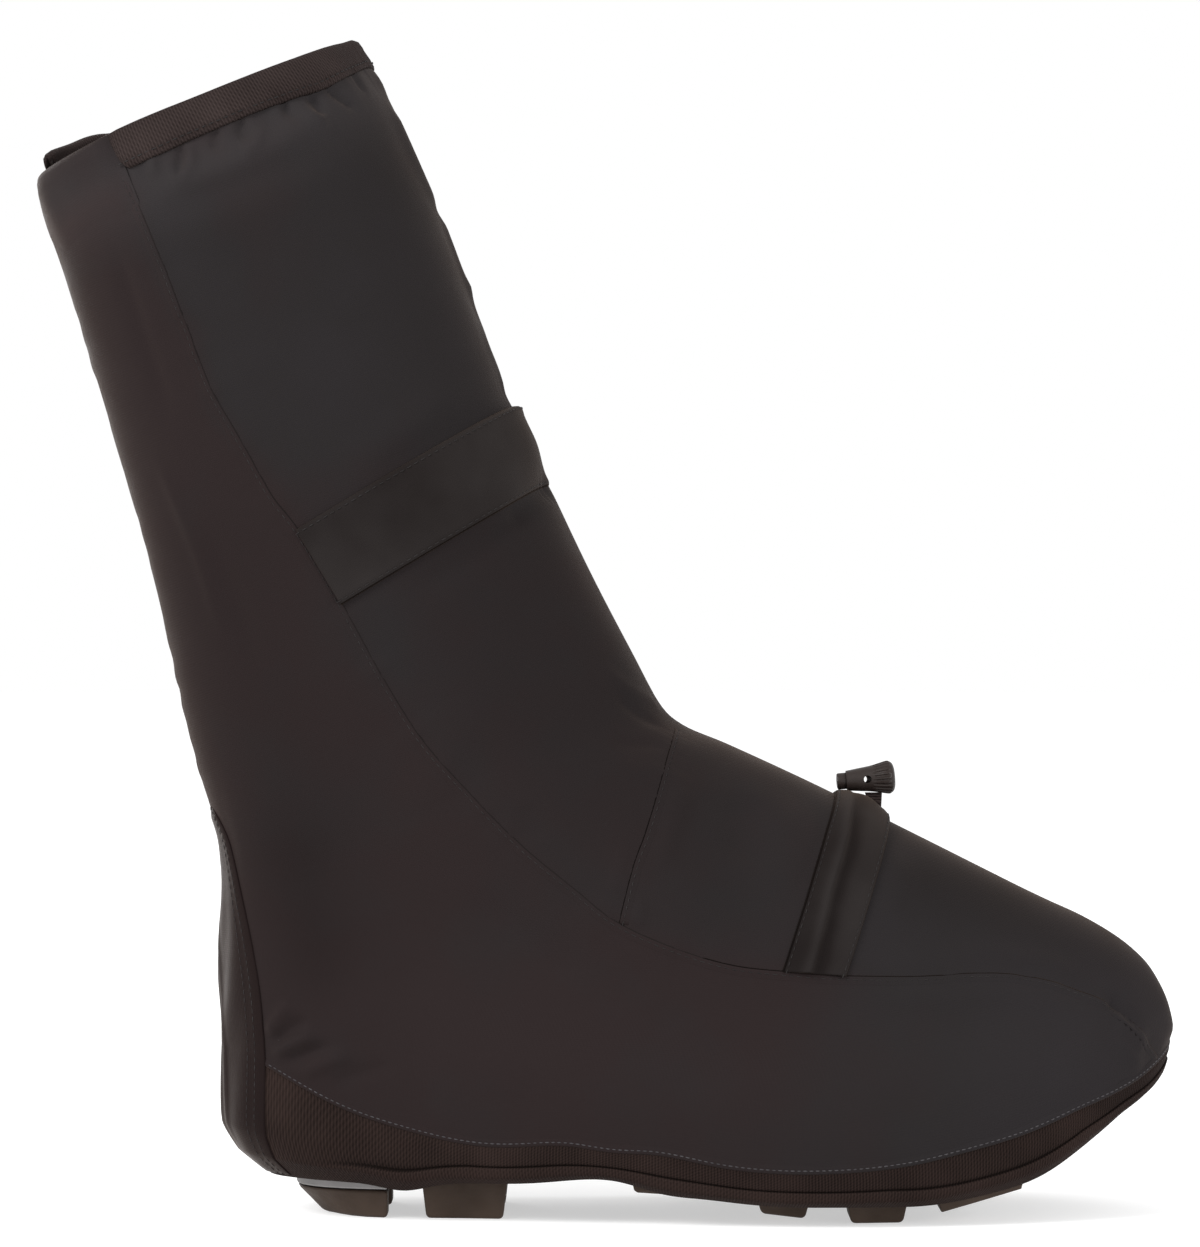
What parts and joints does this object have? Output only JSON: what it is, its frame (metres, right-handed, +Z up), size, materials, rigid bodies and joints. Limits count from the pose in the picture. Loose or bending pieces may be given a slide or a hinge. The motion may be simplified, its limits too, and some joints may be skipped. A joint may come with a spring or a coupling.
{
  "type": "cycling overshoe",
  "caption": "Tall overshoe for a cycling shoe: hollow fabric upper with shin strap, instep channel and cord lock, elastic rand and a lugged sole that stands flat.",
  "frame": {"origin": "middle of the bounding box on the floor, under the sole", "axes": "+X towards the toe, +Y towards the inner side of the right foot, +Z up"},
  "size_m": [0.3582, 0.1102, 0.3664],
  "materials": {
    "shell_fabric": "matt coated weave",
    "coated_fabric": "satin coating",
    "elastic": "ribbed elastic",
    "rubber": "matt",
    "pale_foam": "matt",
    "plate_plastic": "moulded",
    "insole_foam": "felted foam",
    "lock_plastic": "moulded"
  },
  "bodies": {
    "shoe": {"upper": "shell_fabric", "rand": "elastic", "heel_counter": "coated_fabric", "collar_binding": "elastic", "ankle_strap": "shell_fabric", "instep_channel": "shell_fabric", "cord_tab": "elastic", "cord_lock_barrel": "lock_plastic", "insole": "insole_foam", "sole_plate": "plate_plastic", "heel_wedge": "pale_foam", "heel_lug_rear": "rubber", "heel_lug_front_outer": "rubber", "heel_lug_front_inner": "rubber", "fore_lug_waist_outer": "rubber", "fore_lug_waist_inner": "rubber", "fore_lug_rear_outer": "rubber", "fore_lug_rear_inner": "rubber", "fore_lug_ball_outer": "rubber", "fore_lug_ball_inner": "rubber", "fore_lug_toe_outer": "rubber", "fore_lug_toe_inner": "rubber"},
    "button": {"cord_lock_button": "lock_plastic"}
  },
  "joints": [
    {"name": "button_press", "type": "slide", "parent": "shoe", "child": "button", "axis": [0.9962, 0, 0.0872], "range_m": [0, 0.0025], "stiffness_N_per_m": 700, "springref_m": -0.002}
  ]
}
